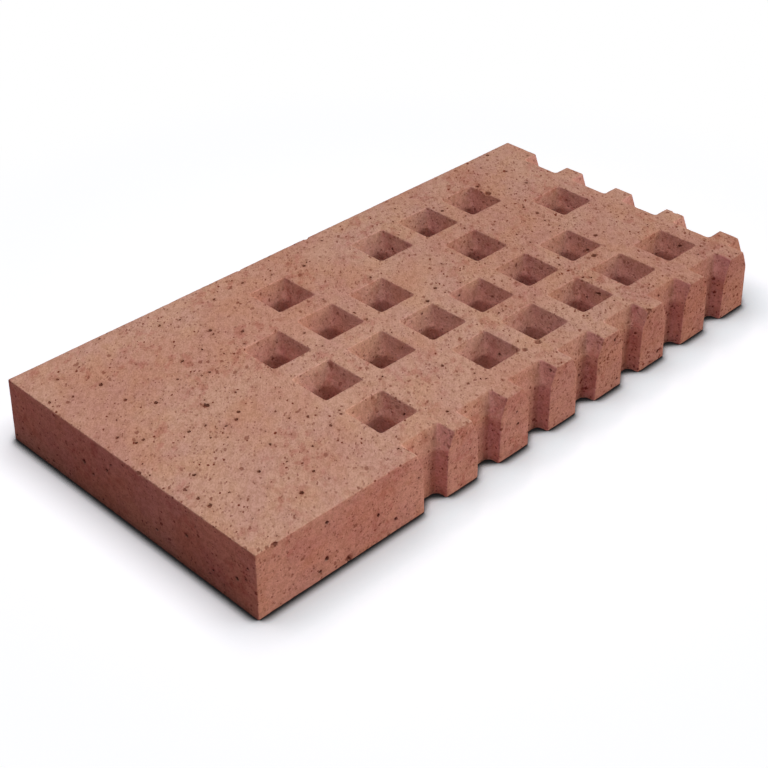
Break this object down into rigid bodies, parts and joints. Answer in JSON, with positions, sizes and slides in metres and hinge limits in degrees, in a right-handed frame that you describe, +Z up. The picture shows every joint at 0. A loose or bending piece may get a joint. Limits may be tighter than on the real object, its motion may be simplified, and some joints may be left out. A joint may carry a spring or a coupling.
{
  "type": "terracotta border tile",
  "caption": "Flat reddish paving slab with a plain band on one end and one long side, and a lattice of flared square through-holes cut open along the other two sides.",
  "frame": {"origin": "middle of the bed face, the face that it is laid on", "axes": "+X from the plain end to the notched end, +Y from the notched long side to the plain long side, +Z up from the bed face to the walking face"},
  "size_m": [0.598, 0.298, 0.058],
  "materials": {
    "tile": "matte, open-pored, unglazed"
  },
  "bodies": {
    "root": {"tile": "tile"}
  },
  "joints": []
}
